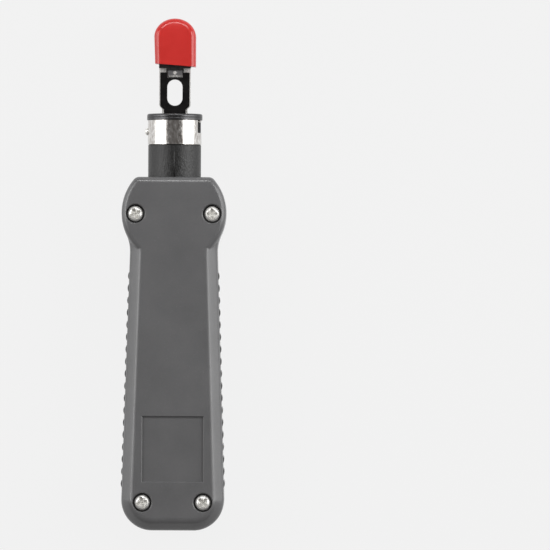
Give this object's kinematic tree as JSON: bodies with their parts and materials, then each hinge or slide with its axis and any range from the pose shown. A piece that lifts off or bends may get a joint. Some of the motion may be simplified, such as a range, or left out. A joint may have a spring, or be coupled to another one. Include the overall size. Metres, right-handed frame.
{
  "type": "punch down tool",
  "caption": "Impact punch down tool: flat two-shell handle with ribbed sides, sprung round neck with a locking collar, exchangeable insertion blade under a push-on cap.",
  "frame": {"origin": "under the centre of the tool's box, on the surface on which its rear face lies", "axes": "+Y along the tool from the butt to the cap, +Z out of the front face, +X to the right as seen from the front"},
  "size_m": [0.0355, 0.174, 0.025],
  "materials": {
    "case": "fine matt grain, dark neutral grey",
    "black_plastic": "moulded, faintly mottled",
    "plated_steel": "bright zinc plate",
    "band": "polished, turned tube",
    "disc": "dark plated, satin",
    "steel": "ground",
    "bright_steel": "bright ground",
    "spring_steel": "drawn wire",
    "black_steel": "black oxide, semi-gloss",
    "brass": "turned",
    "cap": "soft moulded vinyl, satin"
  },
  "bodies": {
    "handle": {"front_shell": "case", "rear_shell": "case", "case_screws": "plated_steel", "case_nuts": "plated_steel", "neck_bush": "brass", "guide_tube": "steel", "rear_plug": "black_plastic", "plug_pin": "steel", "front_bearing": "brass", "spring_washer": "steel", "cam_strip": "steel", "cam_screws": "plated_steel"},
    "plunger": {"neck_sleeve": "black_plastic", "collar_band": "band", "band_pin": "band", "blade_socket": "steel", "striker_rod": "steel", "rod_pin": "steel", "return_spring": "spring_steel", "blade_clip": "spring_steel"},
    "hammer": {"hammer": "steel", "main_spring": "spring_steel", "sear_spring": "spring_steel"},
    "sear": {"sear_block": "steel"},
    "lock_ring": {"lock_ring": "disc", "lock_cover": "disc"},
    "blade": {"blade_shank": "black_steel", "insertion_blade": "bright_steel", "blade_plate_front": "black_steel", "blade_plate_rear": "black_steel", "blade_rivets": "black_steel", "tip_collar": "black_plastic", "cutter_pivot": "steel", "cutter_spring": "spring_steel"},
    "cutter": {"cutter_lever": "bright_steel"},
    "cap": {"blade_cap": "cap"}
  },
  "joints": [
    {"name": "plunger_press", "type": "slide", "parent": "handle", "child": "plunger", "axis": [0, -1, 0], "range_m": [0, 0.009], "stiffness_N_per_m": 1500, "springref_m": -0.002, "deforming": ["return_spring"]},
    {"name": "hammer_travel", "type": "slide", "parent": "handle", "child": "hammer", "axis": [0, -1, 0], "range_m": [0, 0.009], "deforming": ["main_spring"]},
    {"name": "sear_shift", "type": "slide", "parent": "hammer", "child": "sear", "axis": [-1, 0, 0], "range_m": [0, 0.0026], "deforming": ["sear_spring"]},
    {"name": "lock_turn", "type": "hinge", "parent": "plunger", "child": "lock_ring", "pos_m": [0, 0.05235, 0.0125], "axis": [0, -1, 0], "range_deg": [0, 40]},
    {"name": "blade_pull", "type": "slide", "parent": "lock_ring", "child": "blade", "axis": [0, 1, 0], "range_m": [0, 0.03], "deforming": ["blade_clip"]},
    {"name": "cap_pull", "type": "slide", "parent": "blade", "child": "cap", "axis": [0, 1, 0], "range_m": [0, 0.022]},
    {"name": "cutter_swing", "type": "hinge", "parent": "blade", "child": "cutter", "pos_m": [0, 0.0686, 0.0134], "axis": [0, 0, 1], "range_deg": [0, 12], "stiffness_Nm_per_rad": 0.002, "springref_deg": -2.86, "deforming": ["cutter_spring"]}
  ],
  "couplings": [
    {"joint": "hammer_travel", "follows": "plunger_press", "ratio": 1},
    {"joint": "sear_shift", "follows": "plunger_press", "ratio": 0.28889}
  ]
}
